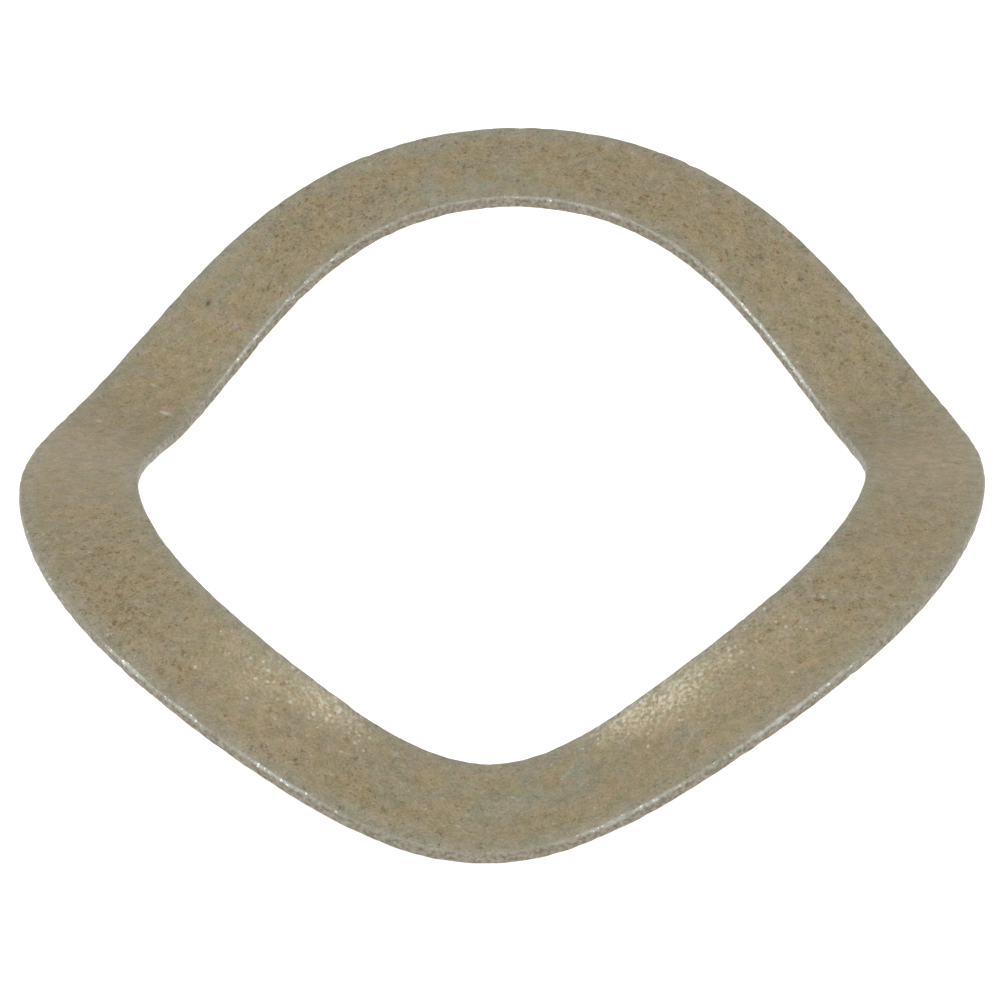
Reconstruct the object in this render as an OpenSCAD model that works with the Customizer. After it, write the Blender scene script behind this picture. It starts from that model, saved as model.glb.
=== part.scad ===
// Wave spring washer: a ring of thin spring strip, pressed into three waves.
// Its axis is Z, its three troughs rest on Z = 0, and its tallest crest is at +Y.
// Along a radius the strip is level, apart from the tallest crest, which leans in towards the axis.

/* [Ring] */
// Outside diameter
outer_d = 24.5; // [21:0.1:40]
// Bore diameter
bore_d = 18.5; // [10:0.1:22]
// Thickness of the spring strip
strip_t = 0.35; // [0.2:0.05:0.6]
// Radius that tumbling has left on the edges
edge_r = 0.07; // [0.03:0.01:0.1]

/* [Waves] */
// Rise of the tallest crest above the troughs, at the middle of the strip
tall_rise = 3.25; // [1:0.05:5]
// Height of the rim above the bore at the tallest crest
tall_lean = 0.25; // [0:0.05:0.6]
// Rise of the two lower crests above the troughs
low_rise = 2.9; // [1:0.05:5]
// Angle round the ring from the tallest crest to the trough on either side
trough_angle = 65; // [50:1:80]
// Angle round the ring from the tallest crest to each lower crest
low_crest_angle = 125; // [110:1:140]
// Share of a half wave by which the crests are broader than the troughs
crest_breadth = 0.095; // [0:0.005:0.25]

/* [Hidden] */
finish_colour = "#988d75";

rim_r = outer_d / 2;
bore_r = bore_d / 2;
mid_r = (rim_r + bore_r) / 2;
strip_w = rim_r - bore_r;
free_height = max(tall_rise + tall_lean / 2, low_rise) + strip_t;

// The edges keep a flat wall between them, however thin the strip is
edge_share = 0.45;
tumbled_r = min(edge_r, edge_share * strip_t);

// The strip is swept round the axis in straight sides, which stand proud of the rim and bore by the
// trim stock. The rim and bore then trim them, so each is one true arc all the way round.
sides = 144;
edge_steps = 2;
trim_stock = 0.005;
side_angle = 360 / sides;
swept_rim_r = (rim_r + trim_stock) / cos(side_angle / 2);
swept_bore_r = bore_r - trim_stock;
tallest_at = 90;
slope_step = 0.05;
trim_margin = 1;

// Height of a half wave: 0 at its trough, where s is 0, and 1 at its crest, where s is 1
function half_wave(s) = (1 - cos(180 * (s + crest_breadth * sin(180 * s)))) / 2;

// Angle from the tallest crest, 0 to 180 either way round
function from_tallest(theta) = acos(cos(theta - tallest_at));

// Rise of the strip's middle at an angle a from the tallest crest
function rise_from(a) =
    a < trough_angle ? tall_rise * half_wave(1 - a / trough_angle)
    : a < low_crest_angle ? low_rise * half_wave((a - trough_angle) / (low_crest_angle - trough_angle))
    : low_rise * half_wave((180 - a) / (180 - low_crest_angle));

// Slope of the strip along the radius, steepest at the tallest crest and gone at the troughs beside it
function lean_from(a) = a < trough_angle ? tall_lean / strip_w * half_wave(1 - a / trough_angle) : 0;

// Rise of the strip at an angle round the ring, at radius r
function rise(theta, r) =
    let (a = from_tallest(theta))
    rise_from(a) + lean_from(a) * (r - mid_r);

// Rise per radian at radius r, from which the slope round the ring follows
function rise_rate(theta, r) =
    (rise(theta + slope_step, r) - rise(theta - slope_step, r)) / (2 * slope_step * PI / 180);

// Upright measure of one unit across the strip, where the strip slopes at radius r
function upright(theta, r) =
    let (along = rise_rate(theta, r) / r, across = lean_from(from_tallest(theta)))
    sqrt(1 + along * along + across * across);

// One rounded corner of the strip's section, as [radius, level] points from angle a0 to a0 + 90
function corner(r, level, a0) =
    [for (i = [0:edge_steps])
        let (a = a0 + 90 * i / edge_steps) [r + tumbled_r * cos(a), level + tumbled_r * sin(a)]];

// Section of the strip, anticlockwise from the rim's upper corner
section =
    let (out = swept_rim_r - tumbled_r, in = swept_bore_r + tumbled_r, up = strip_t / 2 - tumbled_r)
    concat(corner(out, up, 0), corner(in, up, 90), corner(in, -up, 180), corner(out, -up, 270));

// A point of the section, set in place at an angle round the ring
function placed(p, theta) =
    [p.x * cos(theta), p.x * sin(theta), strip_t / 2 + rise(theta, p.x) + p.y * upright(theta, p.x)];

// The strip, swept round the axis along its waves
module waved_strip() {
    count = len(section);
    points = [for (k = [0:sides - 1], p = section) placed(p, k * side_angle)];
    faces = [
        for (k = [0:sides - 1], j = [0:count - 1])
            let (
                here = k * count,
                next = (k + 1) % sides * count,
                j_next = (j + 1) % count
            )
            each [[here + j, here + j_next, next + j_next], [here + j, next + j_next, next + j]]
    ];
    polyhedron(points, faces);
}

// The rim and bore as the blanking die cut them, taller than the waves
module blanked_ring() {
    translate([0, 0, -trim_margin])
        difference() {
            cylinder(r = rim_r, h = free_height + 2 * trim_margin, $fn = 2 * sides);
            translate([0, 0, -trim_margin])
                cylinder(r = bore_r, h = free_height + 4 * trim_margin, $fn = 2 * sides);
        }
}

module wave_washer() {
    color(finish_colour)
        intersection() {
            waved_strip();
            blanked_ring();
        }
}

wave_washer();
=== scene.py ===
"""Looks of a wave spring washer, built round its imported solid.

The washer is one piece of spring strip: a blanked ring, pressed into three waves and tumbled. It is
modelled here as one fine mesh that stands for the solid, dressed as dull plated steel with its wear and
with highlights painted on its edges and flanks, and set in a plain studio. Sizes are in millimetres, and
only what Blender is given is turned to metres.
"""

import logging
import math
from dataclasses import dataclass
from enum import Enum
from typing import Any

import bpy
import numpy as np
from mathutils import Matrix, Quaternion, Vector


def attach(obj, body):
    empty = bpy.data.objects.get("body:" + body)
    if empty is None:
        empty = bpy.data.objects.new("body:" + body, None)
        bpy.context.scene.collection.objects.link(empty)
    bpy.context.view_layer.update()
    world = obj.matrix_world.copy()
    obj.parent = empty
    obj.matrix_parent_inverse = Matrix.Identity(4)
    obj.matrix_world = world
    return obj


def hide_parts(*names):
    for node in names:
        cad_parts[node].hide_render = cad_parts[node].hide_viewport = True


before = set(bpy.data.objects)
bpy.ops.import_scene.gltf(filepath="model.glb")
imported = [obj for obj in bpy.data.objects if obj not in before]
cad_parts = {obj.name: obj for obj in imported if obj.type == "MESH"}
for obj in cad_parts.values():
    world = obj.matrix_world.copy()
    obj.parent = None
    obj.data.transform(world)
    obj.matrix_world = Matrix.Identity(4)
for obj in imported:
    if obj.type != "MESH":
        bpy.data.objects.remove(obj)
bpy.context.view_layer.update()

Array = np.ndarray
Colour = tuple[float, float, float, float]
Socket = bpy.types.NodeSocket
Tree = bpy.types.NodeTree

LOG = logging.getLogger("wave_washer")
MM = 0.001
NODE = "wave_washer"
PIECE = "wave_washer_strip"
BODY = "root"
WHITE = "#ffffff"

# The Mix node's colour sockets go by number, because it has others of the same names.
MIX_SHARE, MIX_UNDER, MIX_OVER, MIX_RESULT = 0, 6, 7, 2

# Distances from the bore's wall to the bore's upper edge and to the rim's.
AT_BORE = 0.03
AT_RIM = 2.97


def linear(hex_colour: str) -> Colour:
    """Turns a colour as it is seen into the light values that a shader takes.

    Args:
        hex_colour: An sRGB colour, such as "#94907e".

    Returns:
        The linear red, green and blue, and an alpha of 1.
    """
    channels = [int(hex_colour[i : i + 2], 16) / 255 for i in (1, 3, 5)]
    red, green, blue = (c / 12.92 if c <= 0.04045 else ((c + 0.055) / 1.055) ** 2.4 for c in channels)
    return red, green, blue, 1.0


def add_node(
    tree: Tree, kind: str, inputs: dict[str | int, Any] | None = None, **settings: Any
) -> bpy.types.Node:
    """Adds a node to a tree, with its settings and links.

    Args:
        tree: The tree that the node goes into.
        kind: The node's type, without the ShaderNode that it starts with.
        inputs: What each input takes, by name or number: a socket to link from, or a value.
        **settings: Values for the node's own properties.

    Returns:
        The new node.
    """
    node = tree.nodes.new("ShaderNode" + kind)
    for name, value in settings.items():
        setattr(node, name, value)
    for key, value in (inputs or {}).items():
        if isinstance(value, Socket):
            tree.links.new(value, node.inputs[key])
        else:
            node.inputs[key].default_value = value
    return node


class Wear(Enum):
    """Marks of age and use and painted highlights, each by the name of the mesh attribute that carries it."""

    TARNISH = "tarnish"
    FLECK = "fleck"
    SCRATCH = "scratch"
    BURNISH_AND_PAINTED_SHEEN = "burnish_and_painted_sheen"
    BLOOM = "bloom"
    PAINTED_EDGE_HIGHLIGHT = "painted_edge_highlight"


class Trait(Enum):
    """What a point of the strip's skin belongs to, each by the name of the mesh attribute that carries it."""

    EDGE_MM = "edge_mm"
    WALL = "wall"
    WORN_EDGE = "worn_edge"
    PRESS_LINES = "press_lines"
    ROUND_MM = "round_mm"
    ACROSS_MM = "across_mm"


# The attributes of the strip's mesh, as its finish reads them.
Skin = dict[Wear | Trait, Socket]


@dataclass(frozen=True)
class Mark:
    """A soft patch of one kind of wear or painted highlight on a face or an edge, placed to follow the
    photograph.

    The underside has the same patches, turned round the ring.

    Attributes:
        wear: What kind of mark it is.
        turn_deg: Angle from the tallest crest to its middle, positive to the left of that crest.
        from_bore: Distance from the bore's wall to its middle.
        along: Reach along the ring.
        across: Reach across the ring.
        strength: Its share of the full mark, from 0 to 1.
    """

    wear: Wear
    turn_deg: float
    from_bore: float
    along: float
    across: float
    strength: float


MARKS = (
    # Tarnish spread thinly over the back, the left and the right front, and gathered in places
    Mark(Wear.TARNISH, -36, 1.5, 5.0, 2.2, 0.38),
    Mark(Wear.TARNISH, 24, 1.5, 4.0, 2.0, 0.3),
    Mark(Wear.TARNISH, 122, 1.7, 3.0, 1.6, 0.3),
    Mark(Wear.TARNISH, -128, 1.5, 3.2, 1.6, 0.28),
    Mark(Wear.TARNISH, 165, 2.0, 2.5, 1.0, 0.2),
    Mark(Wear.TARNISH, -146, 2.1, 0.3, 0.25, 0.6),
    Mark(Wear.TARNISH, -139, 0.8, 0.3, 0.25, 0.5),
    Mark(Wear.TARNISH, -130, 1.2, 0.6, 0.5, 0.5),
    Mark(Wear.TARNISH, -51, 2.6, 0.5, 0.3, 0.4),
    Mark(Wear.TARNISH, -38, 1.6, 0.5, 0.6, 0.55),
    Mark(Wear.TARNISH, -19, 1.3, 0.6, 0.7, 0.6),
    Mark(Wear.TARNISH, -16, 0.7, 0.3, 0.3, 0.5),
    Mark(Wear.TARNISH, -10, 1.6, 0.9, 0.7, 0.6),
    Mark(Wear.TARNISH, 2, 1.9, 0.9, 0.7, 0.6),
    Mark(Wear.TARNISH, 22, 1.2, 0.7, 0.6, 0.75),
    Mark(Wear.TARNISH, 30, 1.8, 0.8, 0.8, 0.65),
    Mark(Wear.TARNISH, 36, 1.7, 0.5, 0.7, 0.8),
    Mark(Wear.TARNISH, 43, 0.9, 0.4, 0.35, 0.8),
    Mark(Wear.TARNISH, 117, 1.8, 0.7, 0.6, 0.6),
    Mark(Wear.TARNISH, 128, 1.6, 0.7, 0.9, 0.95),
    Mark(Wear.TARNISH, 131, 2.3, 0.6, 0.4, 0.8),
    Mark(Wear.TARNISH, 140, 2.2, 0.4, 0.3, 0.8),
    Mark(Wear.TARNISH, 154, 2.6, 0.3, 0.25, 0.6),
    Mark(Wear.TARNISH, 166, 2.2, 0.4, 0.4, 0.7),
    # Thin plate that shows bluish grey
    Mark(Wear.BLOOM, 8, 0.6, 1.7, 0.7, 0.9),
    Mark(Wear.BLOOM, 12, 2.7, 2.6, 0.6, 0.5),
    Mark(Wear.BLOOM, 42, 2.5, 2.0, 0.8, 0.55),
    Mark(Wear.BLOOM, -72, 1.6, 0.4, 0.4, 0.5),
    Mark(Wear.BLOOM, -154, 1.9, 0.5, 0.3, 0.6),
    Mark(Wear.BLOOM, -170, 1.0, 0.9, 0.6, 0.8),
    Mark(Wear.BLOOM, 176, 1.7, 2.2, 1.0, 0.3),
    # Painted sheen: highlights painted on the flanks beside the bore, which are also made smoother
    Mark(Wear.BURNISH_AND_PAINTED_SHEEN, -160, 0.35, 0.9, 0.45, 0.8),
    Mark(Wear.BURNISH_AND_PAINTED_SHEEN, -153, 0.7, 0.9, 0.6, 0.7),
    Mark(Wear.BURNISH_AND_PAINTED_SHEEN, -147, 0.5, 0.7, 0.5, 0.4),
    Mark(Wear.BURNISH_AND_PAINTED_SHEEN, -138, 1.0, 1.2, 0.9, 0.2),
    Mark(Wear.BURNISH_AND_PAINTED_SHEEN, 157, 0.4, 0.9, 0.5, 0.8),
    Mark(Wear.BURNISH_AND_PAINTED_SHEEN, 147, 0.9, 1.1, 0.8, 0.3),
    # Painted highlights: stretches of the bore's and the rim's upper edge painted bright, with painted glints
    Mark(Wear.PAINTED_EDGE_HIGHLIGHT, -53, AT_BORE, 1.4, 0.3, 1.0),
    Mark(Wear.PAINTED_EDGE_HIGHLIGHT, -41, AT_BORE, 1.2, 0.3, 0.6),
    Mark(Wear.PAINTED_EDGE_HIGHLIGHT, -20, AT_BORE, 2.2, 0.3, 0.2),
    Mark(Wear.PAINTED_EDGE_HIGHLIGHT, -4, AT_BORE, 1.6, 0.3, 0.2),
    Mark(Wear.PAINTED_EDGE_HIGHLIGHT, 14, AT_BORE, 1.6, 0.3, 0.1),
    Mark(Wear.PAINTED_EDGE_HIGHLIGHT, 34, AT_BORE, 1.6, 0.3, 0.3),
    Mark(Wear.PAINTED_EDGE_HIGHLIGHT, 51, AT_BORE, 1.3, 0.3, 0.55),
    Mark(Wear.PAINTED_EDGE_HIGHLIGHT, 137, AT_RIM, 0.9, 0.3, 0.7),
    Mark(Wear.PAINTED_EDGE_HIGHLIGHT, 145, AT_RIM, 0.6, 0.3, 0.5),
    Mark(Wear.PAINTED_EDGE_HIGHLIGHT, 157, AT_RIM, 1.0, 0.3, 0.65),
    Mark(Wear.PAINTED_EDGE_HIGHLIGHT, 115, AT_RIM, 2.0, 0.3, 0.15),
    Mark(Wear.PAINTED_EDGE_HIGHLIGHT, -167, AT_RIM, 0.7, 0.3, 0.35),
    Mark(Wear.PAINTED_EDGE_HIGHLIGHT, -161, AT_RIM, 0.8, 0.3, 0.5),
    Mark(Wear.PAINTED_EDGE_HIGHLIGHT, -146, AT_RIM, 1.2, 0.3, 0.6),
    Mark(Wear.PAINTED_EDGE_HIGHLIGHT, -138, AT_RIM, 0.7, 0.3, 0.3),
    # Single flecks and scratches
    Mark(Wear.FLECK, 48.2, 2.0, 0.09, 0.06, 0.9),
    Mark(Wear.FLECK, -57, 1.5, 0.06, 0.06, 0.6),
    Mark(Wear.FLECK, -63, 2.5, 0.08, 0.08, 0.5),
    Mark(Wear.SCRATCH, 67.9, 0.7, 0.06, 0.16, 0.8),
    Mark(Wear.SCRATCH, 63, 1.6, 0.06, 0.08, 0.5),
    Mark(Wear.SCRATCH, 74, 2.1, 0.07, 0.07, 0.5),
)


@dataclass(frozen=True)
class WaveForm:
    """Rise of the strip round the ring: level along a radius, but for the tallest crest, which leans inwards.

    Attributes:
        mid_r: Radius of the strip's middle.
        tall_rise: Rise of the tallest crest above the troughs, at the strip's middle.
        tall_lean: Slope of the strip along the radius at the tallest crest.
        low_rise: Rise of the two lower crests above the troughs.
        trough_deg: Angle from the tallest crest to the trough on either side.
        low_crest_deg: Angle from the tallest crest to each lower crest.
        crest_breadth: Share of a half wave by which the crests are broader than the troughs.
        slope_step: Angle over which a slope is taken, in radians.
    """

    mid_r: float
    tall_rise: float
    tall_lean: float
    low_rise: float = 2.9
    trough_deg: float = 65.0
    low_crest_deg: float = 125.0
    crest_breadth: float = 0.095
    slope_step: float = 0.001

    def half_wave(self, share: Array) -> Array:
        """Height of a half wave, 0 at its trough, where share is 0, and 1 at its crest, where share is 1."""
        return (1 - np.cos(np.pi * (share + self.crest_breadth * np.sin(np.pi * share)))) / 2

    def away_deg(self, turn: Array) -> Array:
        """Angle from the tallest crest, 0 to 180 degrees either way round."""
        return np.degrees(np.arccos(np.cos(turn)))

    def lean(self, turn: Array) -> Array:
        """Slope along the radius, steepest at the tallest crest and gone at the troughs beside it."""
        return self.tall_lean * self.half_wave(np.maximum(1 - self.away_deg(turn) / self.trough_deg, 0))

    def rise(self, turn: Array, radius: Array) -> Array:
        """Works out the rise round the ring.

        Args:
            turn: Angles from the tallest crest, in radians.
            radius: Radii of the points.

        Returns:
            The rise above the troughs at each point.
        """
        away = self.away_deg(turn)
        back = self.tall_rise * self.half_wave(1 - away / self.trough_deg)
        flank_deg = self.low_crest_deg - self.trough_deg
        side = self.low_rise * self.half_wave((away - self.trough_deg) / flank_deg)
        front = self.low_rise * self.half_wave((180 - away) / (180 - self.low_crest_deg))
        middle = np.where(away < self.trough_deg, back, np.where(away < self.low_crest_deg, side, front))
        return middle + self.lean(turn) * (radius - self.mid_r)

    def upright(self, turn: Array, radius: Array) -> Array:
        """Works out how far one unit across the sloping strip reaches upright.

        Args:
            turn: Angles from the tallest crest, in radians.
            radius: Radii of the points.

        Returns:
            The upright measure of one unit, at each point.
        """
        climb = self.rise(turn + self.slope_step, radius) - self.rise(turn - self.slope_step, radius)
        slope = climb / (2 * self.slope_step * radius)
        return np.sqrt(1 + slope**2 + self.lean(turn) ** 2)


@dataclass(frozen=True)
class Wander:
    """An uneven run round the ring that closes on itself, made of cosine strands of random lengths.

    Attributes:
        longest: Wave length of the longest strand.
        shortest: Wave length of the shortest strand.
        strands: How many strands there are.
        tilt: How far, at most, a strand shifts in phase from the top of a wall to its foot, in radians.
    """

    longest: float
    shortest: float
    strands: int
    tilt: float = 0.0

    def run(self, draw: np.random.Generator, turn: Array, ring_r: float, depth: Array | float = 0.0) -> Array:
        """Works out the run round the ring.

        Args:
            draw: The random draws.
            turn: Angles from the tallest crest, in radians.
            ring_r: Radius of the ring that it runs round.
            depth: How far down a wall each point is, from 0 to 1.

        Returns:
            A value at each point, with a mean of 0 and a usual size of 1.
        """
        lengths = np.exp(draw.uniform(math.log(self.shortest), math.log(self.longest), self.strands))
        cycles = np.round(math.tau * ring_r / lengths)
        phases = draw.uniform(0, math.tau, self.strands)
        tilts = draw.uniform(-self.tilt, self.tilt, self.strands)
        waves = sum(np.cos(n * turn + t * depth + p) for n, t, p in zip(cycles, tilts, phases))
        return waves * math.sqrt(2 / self.strands)


@dataclass(frozen=True)
class TumbledEdge:
    """One of the strip's edges, rounded unevenly by tumbling and nicked in handling.

    Attributes:
        radius: Its mean radius.
        stray: How far the radius usually strays from its mean.
        nicks: How many nicks there are round the ring.
        nick_depth: Depth of the deepest nick.
        seed: Starts the random draws of this edge.
        nick_width: Width of a middling nick.
        nick_depths: Range of the nicks' depths, as multiples of nick_depth.
        nick_widths: Range of the nicks' widths, as multiples of nick_width.
        most_stray: Limit of the straying, as a multiple of stray.
        wander: How the radius strays round the ring.
    """

    radius: float
    stray: float
    nicks: int
    nick_depth: float
    seed: int
    nick_width: float = 0.09
    nick_depths: tuple[float, float] = (0.3, 1.0)
    nick_widths: tuple[float, float] = (0.6, 1.5)
    most_stray: float = 1.5
    wander: Wander = Wander(longest=4.0, shortest=0.45, strands=28)

    def radius_round(self, turn: Array, ring_r: float) -> Array:
        """Works out the edge's radius round the ring.

        Args:
            turn: Angles from the tallest crest, in radians.
            ring_r: Radius of the ring's wall at this edge.

        Returns:
            The edge's radius at each angle.
        """
        draw = np.random.default_rng(self.seed)
        stray = np.clip(self.wander.run(draw, turn, ring_r), -self.most_stray, self.most_stray)
        radius = self.radius + self.stray * stray
        for _ in range(self.nicks):
            place = draw.uniform(-np.pi, np.pi)
            depth = self.nick_depth * draw.uniform(*self.nick_depths)
            width = self.nick_width * draw.uniform(*self.nick_widths)
            gap = ring_r * (np.mod(turn - place + np.pi, math.tau) - np.pi)
            radius = radius + depth * np.exp(-((gap / width) ** 2))
        return radius


@dataclass(frozen=True)
class DieCutWall:
    """A wall as the blanking die left it: a sheared land above, and a torn zone below that stands back.

    Attributes:
        seed: Starts the random draws of this wall.
        land: Share of the wall's height that the sheared land takes up.
        land_stray: How far the land's lower limit usually strays, as a share of the wall's height.
        land_back: How far the land stands back, a hair that keeps the wall inside the solid's.
        torn_back: How far the torn zone stands back at its foot.
        ripple: Usual height of the ripples in the torn zone.
        ripple_start: Share of the torn zone over which the ripples grow to their full height.
        limit: How the land's lower limit strays round the ring.
        ripples: How the ripples run round the ring.
    """

    seed: int
    land: float = 0.4
    land_stray: float = 0.12
    land_back: float = 0.0005
    torn_back: float = 0.012
    ripple: float = 0.005
    ripple_start: float = 0.25
    limit: Wander = Wander(longest=3.0, shortest=0.35, strands=36)
    ripples: Wander = Wander(longest=3.0, shortest=0.2, strands=36, tilt=4.0)

    def set_back(self, turn: Array, depth: Array, ring_r: float) -> Array:
        """Works out how far the wall stands back from its true radius.

        Args:
            turn: Angles from the tallest crest, in radians.
            depth: How far down the wall each point is, from 0 to 1.
            ring_r: Radius of the wall.

        Returns:
            How far each point stands back, never less than the land does.
        """
        draw = np.random.default_rng(self.seed)
        limit = self.land + self.land_stray * self.limit.run(draw, turn, ring_r)
        torn = np.clip((depth - limit) / (1 - self.land), 0, 1)
        ripple = self.ripple * (1 + self.ripples.run(draw, turn, ring_r, depth))
        growth = np.minimum(1, torn / self.ripple_start)
        return self.land_back + np.maximum(0, torn * self.torn_back + growth * ripple)


@dataclass(frozen=True)
class Specks:
    """A scatter of small specks of one colour in a finish.

    Attributes:
        shade: Their colour.
        gathered_by: What gathers them: the wear or trait whose mesh attribute raises their number.
        spacing_mm: Distance between the places where a speck may be.
        reach: Radius of the smallest and of the largest, as shares of the spacing.
        share: Share of the places that have a speck everywhere.
        gathered_share: Share that the full attribute adds.
        strength: How far the middle of a speck hides what is under it, from 0 to 1.
        core: Share of a speck's radius inside which it has its full strength.
    """

    shade: str
    gathered_by: Wear | Trait
    spacing_mm: float
    reach: tuple[float, float]
    share: float
    gathered_share: float
    strength: float
    core: float = 0.4

    def add(self, tree: Tree, mm: Socket, skin: Skin, colour: Socket) -> Socket:
        """Adds the specks to a colour.

        Args:
            tree: The material's node tree.
            mm: Places on the ring, in millimetres.
            skin: The mesh's attributes.
            colour: The colour under the specks.

        Returns:
            The colour with the specks.
        """
        places = add_node(tree, "TexVoronoi", {"Vector": mm, "Scale": 1 / self.spacing_mm})
        draws = add_node(tree, "SeparateColor", {0: places.outputs["Color"]})
        share = add_node(
            tree, "Math", {0: skin[self.gathered_by], 1: self.gathered_share, 2: self.share},
            operation="MULTIPLY_ADD",
        ).outputs[0]
        there = add_node(tree, "Math", {0: draws.outputs[0], 1: share}, operation="LESS_THAN").outputs[0]
        smallest, largest = self.reach
        reach = add_node(
            tree, "MapRange", {"Value": draws.outputs[1], "To Min": smallest, "To Max": largest}
        ).outputs[0]
        outward = add_node(
            tree, "Math", {0: places.outputs["Distance"], 1: reach}, operation="DIVIDE"
        ).outputs[0]
        body = add_node(
            tree, "MapRange",
            {"Value": outward, "From Min": 1.0, "From Max": self.core, "To Max": self.strength},
            interpolation_type="SMOOTHSTEP",
        ).outputs[0]
        cover = add_node(tree, "Math", {0: body, 1: there}, operation="MULTIPLY").outputs[0]
        return add_node(
            tree, "Mix", {MIX_SHARE: cover, MIX_UNDER: colour, MIX_OVER: linear(self.shade)}, data_type="RGBA"
        ).outputs[MIX_RESULT]


@dataclass(frozen=True)
class TumbledPlatedSteel:
    """Tumbled spring steel under a thin, dull, passivated plate.

    Tumbling leaves a matt, finely pitted skin that spreads light almost evenly. The passivation tints it
    khaki, in soft patches of ochre and grey-olive, and it thins to bluish grey near the edges. Age adds
    brown tarnish in gathered specks, and wear brings up pale metal along the edges. Highlights are painted
    on stretches of the upper edges and on the steep flanks beside the bore, as a painted sheen and glints.

    Attributes:
        name: The material's name.
        ochre, olive: The plate's two tints.
        bloom, edge_grey: Tints of thin plate, on the faces and along the edges.
        press_pink: Tint of the press lines.
        fleck, scratch: Single dark flecks and pale scratches.
        painted_sheen: Painted highlight on the flanks beside the bore.
        torn, torn_dark: The walls where the die cut, and their hollows.
        worn_metal_and_highlight: Edges worn down to the metal, and painted highlights along them.
        tarnish_specks, pale_specks, painted_sparkles, painted_glints: Scatters of specks, in the order that
            they lie. The sparkles and glints are painted highlights.
        patch_mm, mottle_mm, grain_mm, ragged_mm, painted_sheen_mm, torn_mm: Sizes of the patterns.
        press_line_mm, press_line_length_mm: Breadth and length of the press lines.
        edge_band_mm: Breadth of the grey band along the edges.
        pattern_middle, pattern_span: Middle of a pattern's values, and how far they usually stray from it.
        detail, detail_weight: How many finer layers the broken patterns have, and how much each one counts.
        painted_sheen_start: Value of its pattern at which the painted sheen begins.
        band_cover, line_cover: How far the grey band and the press lines hide the plate.
        edge_share: How far edges are worn down everywhere.
        painted_highlight_share: How bright the painted edge highlights are.
        wear_and_highlight_floor: Share of the edge wear and the painted highlights that the hollows of an
            edge get.
        mottle_share: Weight of the mottle in the brightness, next to the grain's.
        value_swing, tint_swing, hue_swing: How far the patterns change brightness, strength of tint and hue.
        grain_depth_mm: Depth of the grain's relief.
        rag_mm: How far the outlines of specks are ragged, other than those of the painted sparkles.
        metallic, roughness, rubbed_roughness: How the skin reflects light, as plated and where worn smooth.
    """

    name: str = "tumbled_plated_spring_steel"
    ochre: str = "#978a6d"
    olive: str = "#948a72"
    bloom: str = "#8d9183"
    edge_grey: str = "#949080"
    press_pink: str = "#9f907b"
    fleck: str = "#3a3020"
    scratch: str = "#c0c6bd"
    # Painted highlight: the pale colour of the sheen painted on the flanks beside the bore
    painted_sheen: str = "#bdb59d"
    torn: str = "#a5a090"
    torn_dark: str = "#7c7365"
    # Edges worn to bare metal and the painted highlights on the edges share this pale colour
    worn_metal_and_highlight: str = "#cad2cf"
    tarnish_specks: tuple[Specks, ...] = (
        Specks(
            "#6b5234", Wear.TARNISH, spacing_mm=0.12, reach=(0.25, 0.6),
            share=0.1, gathered_share=0.8, strength=0.55, core=0.3,
        ),
        Specks(
            "#6a4a2b", Wear.TARNISH, spacing_mm=0.22, reach=(0.25, 0.62),
            share=0.01, gathered_share=0.82, strength=0.64, core=0.0,
        ),
    )
    pale_specks: tuple[Specks, ...] = (
        Specks(
            "#b9b8a8", Wear.BURNISH_AND_PAINTED_SHEEN, spacing_mm=0.14, reach=(0.2, 0.4),
            share=0.1, gathered_share=0.0, strength=0.5,
        ),
        Specks(
            "#a9b3ae", Wear.BLOOM, spacing_mm=0.2, reach=(0.2, 0.45),
            share=0.06, gathered_share=0.15, strength=0.35,
        ),
    )
    # Painted glints: pale dots in the painted sheen on the flanks
    painted_sparkles: tuple[Specks, ...] = tuple(
        Specks(
            shade, Wear.BURNISH_AND_PAINTED_SHEEN, spacing_mm=spacing_mm, reach=(0.3, 0.7),
            share=0.0, gathered_share=0.35, strength=0.45, core=0.1,
        )
        for shade, spacing_mm in (("#d8d6c3", 0.12), ("#ccd9cc", 0.14), ("#d9b8a6", 0.13))
    )
    # Painted glints: white dots on the painted edge highlights
    painted_glints: tuple[Specks, ...] = (
        Specks(
            "#f2f4f1", Wear.PAINTED_EDGE_HIGHLIGHT, spacing_mm=0.12, reach=(0.35, 0.65),
            share=0.0, gathered_share=0.65, strength=0.9,
        ),
    )
    patch_mm: float = 0.7
    mottle_mm: float = 0.3
    # The pits of a tumbled skin are about 0.02 mm across, drawn some three times coarser so that they show.
    grain_mm: float = 0.065
    ragged_mm: float = 0.12
    painted_sheen_mm: float = 0.1
    torn_mm: float = 0.11
    press_line_mm: float = 0.07
    press_line_length_mm: float = 1.6
    edge_band_mm: float = 0.65
    pattern_middle: float = 0.5
    pattern_span: float = 0.15
    detail: float = 3.0
    detail_weight: float = 0.6
    painted_sheen_start: float = 0.45
    band_cover: float = 0.8
    line_cover: float = 0.5
    edge_share: float = 0.14
    painted_highlight_share: float = 0.85
    wear_and_highlight_floor: float = 0.45
    mottle_share: float = 0.6
    value_swing: float = 0.125
    tint_swing: float = 0.05
    hue_swing: float = 0.23
    grain_depth_mm: float = 0.006
    rag_mm: float = 0.34
    metallic: float = 0.92
    roughness: float = 0.62
    rubbed_roughness: float = 0.32

    @property
    def low(self) -> float:
        """Value that a pattern seldom falls below."""
        return self.pattern_middle - self.pattern_span

    @property
    def high(self) -> float:
        """Value that a pattern seldom rises above."""
        return self.pattern_middle + self.pattern_span

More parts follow.
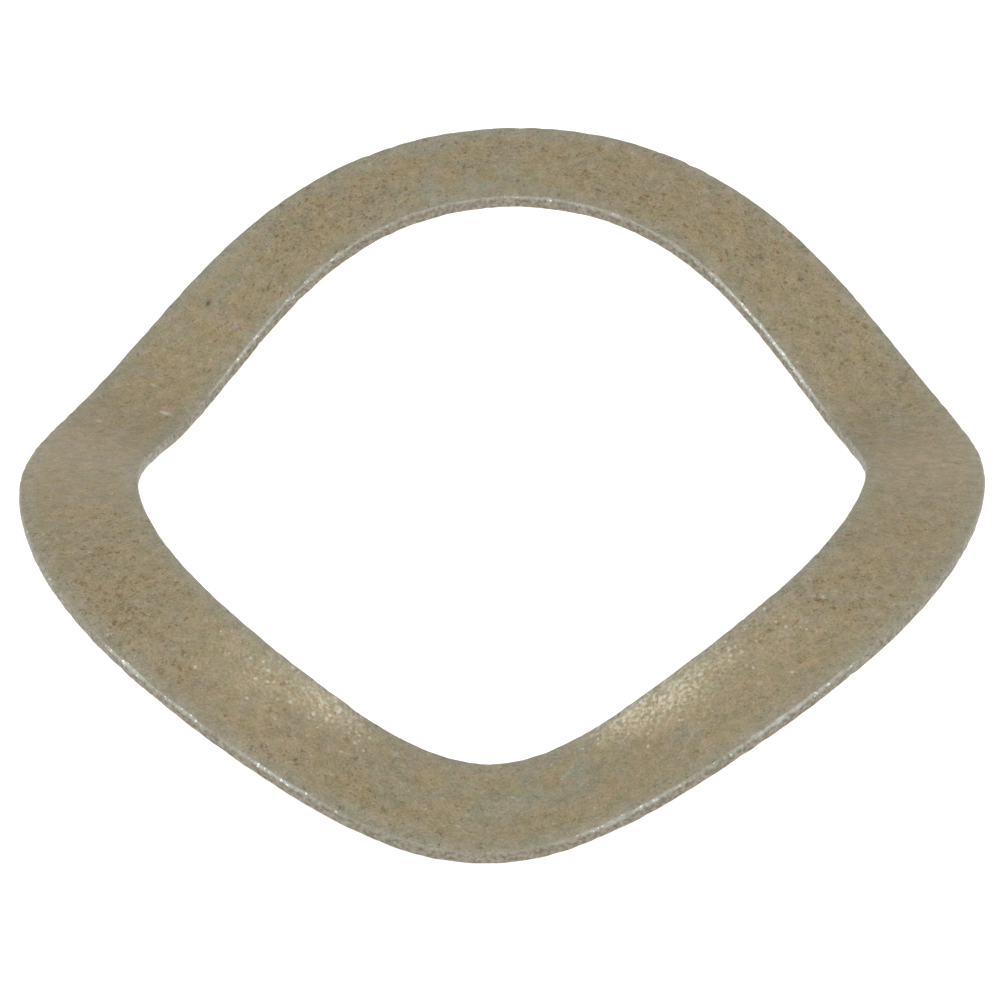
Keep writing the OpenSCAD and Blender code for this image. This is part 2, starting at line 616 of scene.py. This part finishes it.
    def make(self) -> bpy.types.Material:
        """Makes the material, layer by layer from the plate up.

        Returns:
            The finished material.
        """
        material = bpy.data.materials.new(self.name)
        material.use_nodes = True
        tree = material.node_tree
        tree.nodes.clear()
        skin: Skin = {}
        for key in (*Wear, *Trait):
            skin[key] = add_node(tree, "Attribute", attribute_name=key.value).outputs["Fac"]
        place = add_node(tree, "TexCoord").outputs["Object"]
        mm = add_node(tree, "VectorMath", {0: place, "Scale": 1 / MM}, operation="SCALE").outputs[0]
        grain = add_node(
            tree, "TexNoise", {"Vector": mm, "Scale": 1 / self.grain_mm, "Roughness": self.detail_weight}
        ).outputs["Fac"]
        rags = add_node(tree, "TexNoise", {"Vector": mm, "Scale": 1 / self.ragged_mm}).outputs["Color"]
        ragged = add_node(
            tree, "VectorMath", {0: rags, 1: (self.rag_mm,) * 3, 2: mm}, operation="MULTIPLY_ADD"
        ).outputs[0]
        colour = self.plate(tree, mm, skin)
        colour = self.pressed(tree, skin, colour)
        colour = self.grained(tree, mm, grain, colour)
        for specks in self.tarnish_specks + self.pale_specks:
            colour = specks.add(tree, ragged, skin, colour)
        colour = self.marked(tree, skin, colour)
        colour = self.paint_sheen(tree, mm, skin, colour)
        for specks in self.painted_sparkles:
            colour = specks.add(tree, mm, skin, colour)
        colour, rubbing = self.cut(tree, mm, skin, colour)
        for specks in self.painted_glints:
            colour = specks.add(tree, ragged, skin, colour)
        roughness = add_node(
            tree, "MapRange", {"Value": rubbing, "To Min": self.roughness, "To Max": self.rubbed_roughness}
        ).outputs[0]
        relief = add_node(tree, "Bump", {"Height": grain, "Distance": self.grain_depth_mm * MM}).outputs[0]
        shader = add_node(
            tree, "BsdfPrincipled",
            {"Base Color": colour, "Metallic": self.metallic, "Roughness": roughness, "Normal": relief},
        )
        add_node(tree, "OutputMaterial", {"Surface": shader.outputs[0]})
        return material

    def plate(self, tree: Tree, mm: Socket, skin: Skin) -> Socket:
        """Draws the plate: soft patches of tint, thin plate, and the grey band along the edges.

        Args:
            tree: The material's node tree.
            mm: Places on the ring, in millimetres.
            skin: The mesh's attributes.

        Returns:
            The plate's colour.
        """
        patches = add_node(
            tree, "TexNoise", {"Vector": mm, "Scale": 1 / self.patch_mm, "Detail": self.detail}
        ).outputs["Fac"]
        tint = add_node(
            tree, "MapRange", {"Value": patches, "From Min": self.low, "From Max": self.high},
            interpolation_type="SMOOTHSTEP",
        ).outputs[0]
        colour = add_node(
            tree, "Mix", {MIX_SHARE: tint, MIX_UNDER: linear(self.ochre), MIX_OVER: linear(self.olive)},
            data_type="RGBA",
        ).outputs[MIX_RESULT]
        blooming = add_node(tree, "Math", {0: skin[Wear.BLOOM], 1: tint}, operation="MULTIPLY").outputs[0]
        colour = add_node(
            tree, "Mix", {MIX_SHARE: blooming, MIX_UNDER: colour, MIX_OVER: linear(self.bloom)},
            data_type="RGBA",
        ).outputs[MIX_RESULT]
        uneven = add_node(tree, "Math", {0: patches, 1: skin[Trait.EDGE_MM]}, operation="ADD").outputs[0]
        inner, outer = self.pattern_middle + self.edge_band_mm, self.pattern_middle
        band = add_node(
            tree, "MapRange",
            {"Value": uneven, "From Min": inner, "From Max": outer, "To Max": self.band_cover},
            interpolation_type="SMOOTHSTEP",
        ).outputs[0]
        return add_node(
            tree, "Mix", {MIX_SHARE: band, MIX_UNDER: colour, MIX_OVER: linear(self.edge_grey)},
            data_type="RGBA",
        ).outputs[MIX_RESULT]

    def pressed(self, tree: Tree, skin: Skin, colour: Socket) -> Socket:
        """Adds the fine lines along the radius that pressing left, a little in front of the rear troughs.

        Args:
            tree: The material's node tree.
            skin: The mesh's attributes.
            colour: The plate's colour.

        Returns:
            The colour with the lines.
        """
        unrolled = add_node(
            tree, "CombineXYZ", {0: skin[Trait.ROUND_MM], 1: skin[Trait.ACROSS_MM]}
        ).outputs[0]
        stretched = add_node(
            tree, "VectorMath",
            {0: unrolled, 1: (1 / self.press_line_mm, 1 / self.press_line_length_mm, 0)},
            operation="MULTIPLY",
        ).outputs[0]
        streaks = add_node(tree, "TexNoise", {"Vector": stretched, "Scale": 1.0}).outputs["Fac"]
        lines = add_node(
            tree, "MapRange",
            {"Value": streaks, "From Min": self.low, "From Max": self.high, "To Max": self.line_cover},
            interpolation_type="SMOOTHSTEP",
        ).outputs[0]
        there = skin[Trait.PRESS_LINES]
        cover = add_node(tree, "Math", {0: lines, 1: there}, operation="MULTIPLY").outputs[0]
        return add_node(
            tree, "Mix", {MIX_SHARE: cover, MIX_UNDER: colour, MIX_OVER: linear(self.press_pink)},
            data_type="RGBA",
        ).outputs[MIX_RESULT]

    def grained(self, tree: Tree, mm: Socket, grain: Socket, colour: Socket) -> Socket:
        """Adds the mottle and the grain, which change brightness, strength of tint and hue.

        Args:
            tree: The material's node tree.
            mm: Places on the ring, in millimetres.
            grain: The fine grain, from 0 to 1.
            colour: The colour of the plate and its lines.

        Returns:
            The colour with mottle and grain.
        """
        mottle = add_node(
            tree, "TexNoise",
            {
                "Vector": mm, "Scale": 1 / self.mottle_mm,
                "Detail": self.detail, "Roughness": self.detail_weight,
            },
        )
        both = add_node(
            tree, "Math", {0: mottle.outputs["Fac"], 1: self.mottle_share, 2: grain}, operation="MULTIPLY_ADD"
        ).outputs[0]
        middle = self.pattern_middle * (1 + self.mottle_share)
        value = add_node(
            tree, "MapRange",
            {
                "Value": both, "From Min": middle - self.pattern_span, "From Max": middle + self.pattern_span,
                "To Min": 1 - self.value_swing, "To Max": 1 + self.value_swing,
            },
            clamp=False,
        ).outputs[0]
        depth = add_node(
            tree, "MapRange",
            {
                "Value": mottle.outputs["Fac"], "From Min": self.low, "From Max": self.high,
                "To Min": 1 + self.tint_swing, "To Max": 1 - self.tint_swing,
            },
            clamp=False,
        ).outputs[0]
        colour = add_node(
            tree, "HueSaturation", {"Saturation": depth, "Value": value, "Color": colour}
        ).outputs[0]
        hues = add_node(
            tree, "VectorMath",
            {0: mottle.outputs["Color"], 1: (self.hue_swing,) * 3, 2: (1 - self.hue_swing / 2,) * 3},
            operation="MULTIPLY_ADD",
        ).outputs[0]
        return add_node(
            tree, "Mix", {MIX_SHARE: 1.0, MIX_UNDER: colour, MIX_OVER: hues},
            data_type="RGBA", blend_type="MULTIPLY",
        ).outputs[MIX_RESULT]

    def marked(self, tree: Tree, skin: Skin, colour: Socket) -> Socket:
        """Adds the single dark flecks and pale scratches.

        Args:
            tree: The material's node tree.
            skin: The mesh's attributes.
            colour: The colour under them.

        Returns:
            The colour with the marks.
        """
        for wear, shade in ((Wear.FLECK, self.fleck), (Wear.SCRATCH, self.scratch)):
            colour = add_node(
                tree, "Mix", {MIX_SHARE: skin[wear], MIX_UNDER: colour, MIX_OVER: linear(shade)},
                data_type="RGBA",
            ).outputs[MIX_RESULT]
        return colour

    def paint_sheen(self, tree: Tree, mm: Socket, skin: Skin, colour: Socket) -> Socket:
        """Paints a sheen, a painted highlight, on the flanks beside the bore, in fine grains.

        Args:
            tree: The material's node tree.
            mm: Places on the ring, in millimetres.
            skin: The mesh's attributes.
            colour: The colour under the painted sheen.

        Returns:
            The colour with the painted sheen.
        """
        grains = add_node(tree, "TexNoise", {"Vector": mm, "Scale": 1 / self.painted_sheen_mm}).outputs["Fac"]
        bright = add_node(
            tree, "MapRange", {"Value": grains, "From Min": self.painted_sheen_start, "From Max": self.high}
        ).outputs[0]
        # The burnish attribute carries the painted sheen on the flanks, and also lowers the roughness there
        cover = add_node(tree, "Math", {0: bright, 1: skin[Wear.BURNISH_AND_PAINTED_SHEEN]}, operation="MULTIPLY").outputs[0]
        return add_node(
            tree, "Mix", {MIX_SHARE: cover, MIX_UNDER: colour, MIX_OVER: linear(self.painted_sheen)}, data_type="RGBA"
        ).outputs[MIX_RESULT]

    def cut(self, tree: Tree, mm: Socket, skin: Skin, colour: Socket) -> tuple[Socket, Socket]:
        """Adds the torn walls, and the edges worn to metal with highlights painted on them.

        Args:
            tree: The material's node tree.
            mm: Places on the ring, in millimetres.
            skin: The mesh's attributes.
            colour: The colour of the faces.

        Returns:
            The colour with walls and edges, and how far each place is worn smooth, from 0 to 1.
        """
        tearing = add_node(
            tree, "TexNoise",
            {"Vector": mm, "Scale": 1 / self.torn_mm, "Detail": self.detail, "Roughness": self.detail_weight},
        ).outputs["Fac"]
        torn = add_node(
            tree, "MapRange", {"Value": tearing, "From Min": self.low, "From Max": self.high}
        ).outputs[0]
        torn_colour = add_node(
            tree, "Mix", {MIX_SHARE: torn, MIX_UNDER: linear(self.torn_dark), MIX_OVER: linear(self.torn)},
            data_type="RGBA",
        ).outputs[MIX_RESULT]
        colour = add_node(
            tree, "Mix", {MIX_SHARE: skin[Trait.WALL], MIX_UNDER: colour, MIX_OVER: torn_colour},
            data_type="RGBA",
        ).outputs[MIX_RESULT]
        # Painted highlights on stretches of the edges, on top of the wear along every edge
        most = add_node(tree, "Math", {0: skin[Wear.PAINTED_EDGE_HIGHLIGHT], 1: self.painted_highlight_share}, operation="MULTIPLY").outputs[0]
        share = add_node(
            tree, "Math", {0: skin[Trait.WORN_EDGE], 1: self.edge_share, 2: most}, operation="MULTIPLY_ADD"
        ).outputs[0]
        broken = add_node(tree, "MapRange", {"Value": torn, "To Min": self.wear_and_highlight_floor}).outputs[0]
        worn_metal_and_highlight = add_node(tree, "Math", {0: share, 1: broken}, operation="MULTIPLY").outputs[0]
        colour = add_node(
            tree, "Mix", {MIX_SHARE: worn_metal_and_highlight, MIX_UNDER: colour, MIX_OVER: linear(self.worn_metal_and_highlight)},
            data_type="RGBA",
        ).outputs[MIX_RESULT]
        rubbing = add_node(tree, "Math", {0: worn_metal_and_highlight, 1: skin[Wear.BURNISH_AND_PAINTED_SHEEN]}, operation="MAXIMUM").outputs[0]
        return colour, rubbing


@dataclass(frozen=True)
class LitWhiteAcrylic:
    """Matt white acrylic sheet lit from below: a white ground, with no reflection and next to no shadow.

    Attributes:
        name: The material's name.
        sheet: Colour of the light that the sheet sends back.
        glow: Brightness of the light that comes through it.
        roughness: How widely it spreads light.
        gloss: How strongly its surface shines, 0 for not at all.
    """

    name: str = "lit_white_acrylic"
    sheet: str = "#a0a09f"
    glow: float = 0.9
    roughness: float = 0.9
    gloss: float = 0.0

    def make(self) -> bpy.types.Material:
        """Makes the material, the same all over the sheet.

        Returns:
            The finished material.
        """
        material = bpy.data.materials.new(self.name)
        material.use_nodes = True
        shader = material.node_tree.nodes["Principled BSDF"]
        shader.inputs["Base Color"].default_value = linear(self.sheet)
        shader.inputs["Roughness"].default_value = self.roughness
        shader.inputs["Specular IOR Level"].default_value = self.gloss
        shader.inputs["Emission Color"].default_value = linear(WHITE)
        shader.inputs["Emission Strength"].default_value = self.glow
        return material


@dataclass
class WaveWasher:
    """The washer: one strip of spring steel, blanked to a ring and pressed into waves.

    Attributes:
        rim_r: Radius of the rim.
        bore_r: Radius of the bore.
        strip_t: Thickness of the strip.
        tall_rise: Rise of the tallest crest above the troughs, at the strip's middle.
        tall_lean: Height of the rim above the bore at the tallest crest.
        tallest_at: Angle of the tallest crest round the axis, in radians from +X.
        stations: How many sections the sweep has.
        face_points: Points across the upper face between its edges.
        underside_points: Points across the lower face between its edges.
        wall_points: Points down a wall between its edges.
        corner_steps: Steps round each edge.
        press_at_deg: Angle from the tallest crest to the middle of the press lines.
        press_reach_deg: How far the press lines reach to either side of that.
        underside_turn: Angle by which the wear on the underside is turned from that on the upper face.
        rim_upper, bore_upper, bore_lower, rim_lower: The strip's four edges.
        rim_wall, bore_wall: The strip's two walls.
    """

    rim_r: float
    bore_r: float
    strip_t: float = 0.35
    tall_rise: float = 3.25
    tall_lean: float = 0.25
    tallest_at: float = math.pi / 2
    stations: int = 1500
    face_points: int = 30
    underside_points: int = 8
    wall_points: int = 3
    corner_steps: int = 4
    press_at_deg: float = 86.0
    press_reach_deg: float = 11.0
    underside_turn: float = 1.3
    rim_upper: TumbledEdge = TumbledEdge(radius=0.078, stray=0.012, nicks=60, nick_depth=0.035, seed=11)
    bore_upper: TumbledEdge = TumbledEdge(radius=0.078, stray=0.012, nicks=45, nick_depth=0.035, seed=13)
    bore_lower: TumbledEdge = TumbledEdge(radius=0.06, stray=0.01, nicks=30, nick_depth=0.03, seed=14)
    rim_lower: TumbledEdge = TumbledEdge(radius=0.06, stray=0.01, nicks=40, nick_depth=0.03, seed=12)
    rim_wall: DieCutWall = DieCutWall(seed=21)
    bore_wall: DieCutWall = DieCutWall(seed=22)

    def __post_init__(self) -> None:
        """Works out the wave from the strip's sizes."""
        self.mid_r = (self.rim_r + self.bore_r) / 2
        self.wave = WaveForm(self.mid_r, self.tall_rise, self.tall_lean / (self.rim_r - self.bore_r))

    def corner(self, turn: Array, edge: TumbledEdge, ring_r: float, quarter: int) -> Array:
        """Lays out one rounded edge of the section at every station.

        Args:
            turn: Angles of the stations from the tallest crest, in radians, as a column.
            edge: The edge.
            ring_r: Radius of the wall beside it.
            quarter: Which quarter of a turn it takes up, anticlockwise from 0 at the rim's upper edge.

        Returns:
            Radius, level, share of wall and share of worn edge of each point: stations by points by four.
        """
        angle = np.pi / 2 * (quarter + np.linspace(0, 1, self.corner_steps + 1)[None, :])
        middle = np.pi / 2 * (quarter + 0.5)
        outward, upward = np.sign(math.cos(middle)), np.sign(math.sin(middle))
        size = edge.radius_round(turn, ring_r)
        radius = ring_r + size * (np.cos(angle) - outward)
        level = upward * self.strip_t / 2 + size * (np.sin(angle) - upward)
        wall = np.broadcast_to(np.cos(angle) ** 2, radius.shape)
        worn = np.broadcast_to(np.abs(np.sin(2 * angle)), radius.shape)
        return np.stack([radius, level, wall, worn], axis=-1)

    def section(self, turn: Array) -> Array:
        """Lays out the strip's section at every station, anticlockwise from the rim's upper edge.

        Args:
            turn: Angles of the stations from the tallest crest, in radians, as a column.

        Returns:
            Radius, level, share of wall and share of worn edge of each point: stations by points by four.
        """
        edges = (self.rim_upper, self.bore_upper, self.bore_lower, self.rim_lower)
        walls = (self.rim_r, self.bore_r, self.bore_r, self.rim_r)
        corners = [self.corner(turn, edge, ring_r, i) for i, (edge, ring_r) in enumerate(zip(edges, walls))]
        spans = (self.face_points, self.wall_points, self.underside_points, self.wall_points)
        parts = []
        for i, corner in enumerate(corners):
            start, end = corner[:, -1:], corners[(i + 1) % len(corners)][:, :1]
            share = np.linspace(0, 1, spans[i] + 2)[None, 1:-1, None]
            parts += [corner, start + (end - start) * share]
        return np.concatenate(parts, axis=1)

    def torn(self, turn: Array, radius: Array, level: Array, wall: Array) -> Array:
        """Sets the walls back as the die tore them.

        Args:
            turn: Angles of the stations from the tallest crest, in radians, as a column.
            radius: Radius of each point.
            level: Level of each point in the strip's thickness.
            wall: Share of wall of each point.

        Returns:
            The radius of each point after that.
        """
        depth = np.clip(0.5 - level / self.strip_t, 0, 1)
        rim_back = self.rim_wall.set_back(turn, depth, self.rim_r)
        bore_back = self.bore_wall.set_back(turn, depth, self.bore_r)
        return radius + wall * np.where(radius > self.mid_r, -rim_back, bore_back)

    def traits(self, turn: Array, section: Array) -> dict[str, Array]:
        """Works out what the finish needs to know of each point.

        Args:
            turn: Angles of the stations from the tallest crest, in radians, as a column.
            section: The strip's section at every station.

        Returns:
            The value of each attribute, by its name, as arrays of stations by points.
        """
        radius, level, wall, worn = np.moveaxis(section, -1, 0)
        from_press = (self.wave.away_deg(turn) - self.press_at_deg) / self.press_reach_deg
        press = np.exp(-(from_press**2))
        values = {
            Trait.EDGE_MM.value: np.maximum(0, np.minimum(radius - self.bore_r, self.rim_r - radius)),
            Trait.WALL.value: wall,
            Trait.WORN_EDGE.value: worn,
            Trait.PRESS_LINES.value: np.broadcast_to(press, radius.shape),
            Trait.ROUND_MM.value: np.broadcast_to(turn * self.mid_r, radius.shape),
            Trait.ACROSS_MM.value: radius,
        }
        worn_turn = turn + np.where(level < 0, self.underside_turn, 0.0)
        for wear in Wear:
            values[wear.value] = np.zeros_like(radius)
        for mark in MARKS:
            turned = np.mod(worn_turn - math.radians(mark.turn_deg) + np.pi, math.tau) - np.pi
            along = turned * radius / mark.along
            across = (radius - self.bore_r - mark.from_bore) / mark.across
            values[mark.wear.value] += mark.strength * np.exp(-(along**2) - across**2)
        # The painted edge highlights stay on the rounds of the edges
        values[Wear.PAINTED_EDGE_HIGHLIGHT.value] *= worn
        return values

    def build(self) -> bpy.types.Object:
        """Builds the washer's mesh, with the attributes that its finish reads.

        Returns:
            The washer, linked to the scene.
        """
        turn = (math.tau * np.arange(self.stations) / self.stations - np.pi)[:, None]
        section = self.section(turn)
        traits = self.traits(turn, section)
        level = section[..., 1]
        radius = self.torn(turn, section[..., 0], level, section[..., 2])
        angle = turn + self.tallest_at
        height = self.strip_t / 2 + self.wave.rise(turn, radius) + level * self.wave.upright(turn, radius)
        points = np.stack([radius * np.cos(angle), radius * np.sin(angle), height], axis=-1)
        count = radius.shape[1]
        here = np.arange(self.stations)[:, None] * count
        onward = np.roll(here, -1, axis=0)
        this = np.arange(count)[None, :]
        following = np.roll(this, -1, axis=1)
        quads = np.stack([here + this, onward + this, onward + following, here + following], axis=-1)
        mesh = bpy.data.meshes.new(NODE)
        mesh.from_pydata((points.reshape(-1, 3) * MM).tolist(), [], quads.reshape(-1, 4).tolist())
        for name, values in traits.items():
            attribute = mesh.attributes.new(name, "FLOAT", "POINT")
            attribute.data.foreach_set("value", values.astype(np.float32).ravel())
        mesh.shade_smooth()
        washer = bpy.data.objects.new(PIECE, mesh)
        bpy.context.scene.collection.objects.link(washer)
        return washer

    def dress(self, washer: bpy.types.Object, finish: TumbledPlatedSteel) -> None:
        """Gives the washer its finish and lets it stand for the solid.

        Args:
            washer: The washer's object.
            finish: Its finish.
        """
        washer.data.materials.append(finish.make())
        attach(washer, BODY)
        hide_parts(NODE)


@dataclass(frozen=True)
class Lamp:
    """A soft square lamp, which points at the washer.

    Attributes:
        name: Its name.
        place: Where it stands.
        side: Length of its sides.
        brightness: How bright its face is, next to the room's light of about 1.
    """

    name: str
    place: tuple[float, float, float]
    side: float
    brightness: float

    def build(self, aim: Vector) -> bpy.types.Object:
        """Builds the lamp.

        Args:
            aim: The point that it faces, in metres.

        Returns:
            The lamp, linked to the scene.
        """
        data = bpy.data.lights.new(self.name, "AREA")
        data.size = self.side * MM
        data.energy = self.brightness * math.pi * data.size**2
        lamp = bpy.data.objects.new(self.name, data)
        lamp.location = Vector(self.place) * MM
        lamp.rotation_euler = (aim - lamp.location).to_track_quat("-Z", "Y").to_euler()
        lamp.visible_camera = False
        bpy.context.scene.collection.objects.link(lamp)
        return lamp


@dataclass
class Studio:
    """A plain white table in soft light, with the camera at the photograph's angle.

    Attributes:
        azimuth_deg: Angle of the camera round the washer, from in front towards the right.
        elevation_deg: Angle of the camera above the table.
        roll_deg: Turn of the camera about its own line of sight.
        distance: From the camera to the point that it aims at.
        aim_height: Height of that point, which is on the washer's axis.
        lens: Focal length.
        sensor: Width of the camera's sensor.
        shift: Shift of the lens to the right and up, as shares of the picture's width.
        clip_share: Nearest distance that the camera sees, as a share of its distance to the washer.
        horizon_light: Brightness of the room's light at the horizon.
        overhead_light: Brightness of the room's light overhead.
        table_half: Half the width of the table.
        table_gap: How far the table lies below the troughs.
        lamps: The lamps, which make the flanks and the edges shine.
    """

    azimuth_deg: float = 3.864
    elevation_deg: float = 40.39
    roll_deg: float = -2.264
    distance: float = 91.16
    aim_height: float = 1.829
    lens: float = 128.36
    sensor: float = 36.0
    shift: tuple[float, float] = (-0.00186, -0.03606)
    clip_share: float = 0.01
    horizon_light: float = 0.88
    overhead_light: float = 1.25
    table_half: float = 900.0
    table_gap: float = 0.004
    lamps: tuple[Lamp, ...] = (
        Lamp("left_lamp", (-30.0, 2.5, 36.5), 14.0, 1.5),
        Lamp("right_lamp", (19.0, -1.0, 45.5), 14.0, 1.8),
    )

    def build_table(self, finish: LitWhiteAcrylic) -> bpy.types.Object:
        """Builds the table under the washer.

        Args:
            finish: The table's finish.

        Returns:
            The table, which isn't part of the washer.
        """
        half, low = self.table_half * MM, -self.table_gap * MM
        corners = [(-half, -half, low), (half, -half, low), (half, half, low), (-half, half, low)]
        mesh = bpy.data.meshes.new("table")
        mesh.from_pydata(corners, [], [(0, 1, 2, 3)])
        mesh.materials.append(finish.make())
        table = bpy.data.objects.new("table", mesh)
        bpy.context.scene.collection.objects.link(table)
        return table

    def light(self) -> None:
        """Fills the room with soft light, brighter overhead than at the horizon, and adds the lamps."""
        scene = bpy.context.scene
        scene.view_settings.view_transform = "Standard"
        scene.world = bpy.data.worlds.new("room")
        scene.world.use_nodes = True
        tree = scene.world.node_tree
        direction = add_node(tree, "TexCoord").outputs["Generated"]
        upward = add_node(tree, "SeparateXYZ", {0: direction}).outputs["Z"]
        brightness = add_node(
            tree, "MapRange", {"Value": upward, "To Min": self.horizon_light, "To Max": self.overhead_light}
        ).outputs[0]
        background = tree.nodes["Background"]
        background.inputs["Color"].default_value = linear(WHITE)
        tree.links.new(brightness, background.inputs["Strength"])
        for lamp in self.lamps:
            lamp.build(Vector((0, 0, self.aim_height * MM)))

    def build_camera(self) -> bpy.types.Object:
        """Sets up the camera, and makes it the scene's own.

        Returns:
            The camera.
        """
        azimuth, elevation = math.radians(self.azimuth_deg), math.radians(self.elevation_deg)
        level = math.cos(elevation)
        back = Vector((math.sin(azimuth) * level, -math.cos(azimuth) * level, math.sin(elevation)))
        data = bpy.data.cameras.new("camera")
        data.lens = self.lens
        data.sensor_width = self.sensor
        data.shift_x, data.shift_y = self.shift
        data.clip_start = self.distance * MM * self.clip_share
        data.clip_end = self.distance * MM / self.clip_share
        camera = bpy.data.objects.new("camera", data)
        camera.location = (Vector((0, 0, self.aim_height)) + back * self.distance) * MM
        roll = Quaternion((0, 0, 1), math.radians(self.roll_deg))
        camera.rotation_mode = "QUATERNION"
        camera.rotation_quaternion = (-back).to_track_quat("-Z", "Y") @ roll
        bpy.context.scene.collection.objects.link(camera)
        bpy.context.scene.camera = camera
        return camera


def main() -> None:
    """Builds the washer and its studio, and reports each piece."""
    logging.basicConfig(level=logging.INFO, format="%(name)s: %(message)s")
    points = np.array([v.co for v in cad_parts[NODE].data.vertices]) / MM
    reach = np.hypot(points[:, 0], points[:, 1])
    washer = WaveWasher(rim_r=float(reach.max()), bore_r=float(reach.min()))
    piece = washer.build()
    washer.dress(piece, TumbledPlatedSteel())
    LOG.info("%s: %d faces, stands for %s", piece.name, len(piece.data.polygons), NODE)
    studio = Studio()
    table = studio.build_table(LitWhiteAcrylic())
    studio.light()
    camera = studio.build_camera()
    LOG.info("%s, %d lamps and %s", table.name, len(studio.lamps), camera.name)


if __name__ == "__main__":
    main()
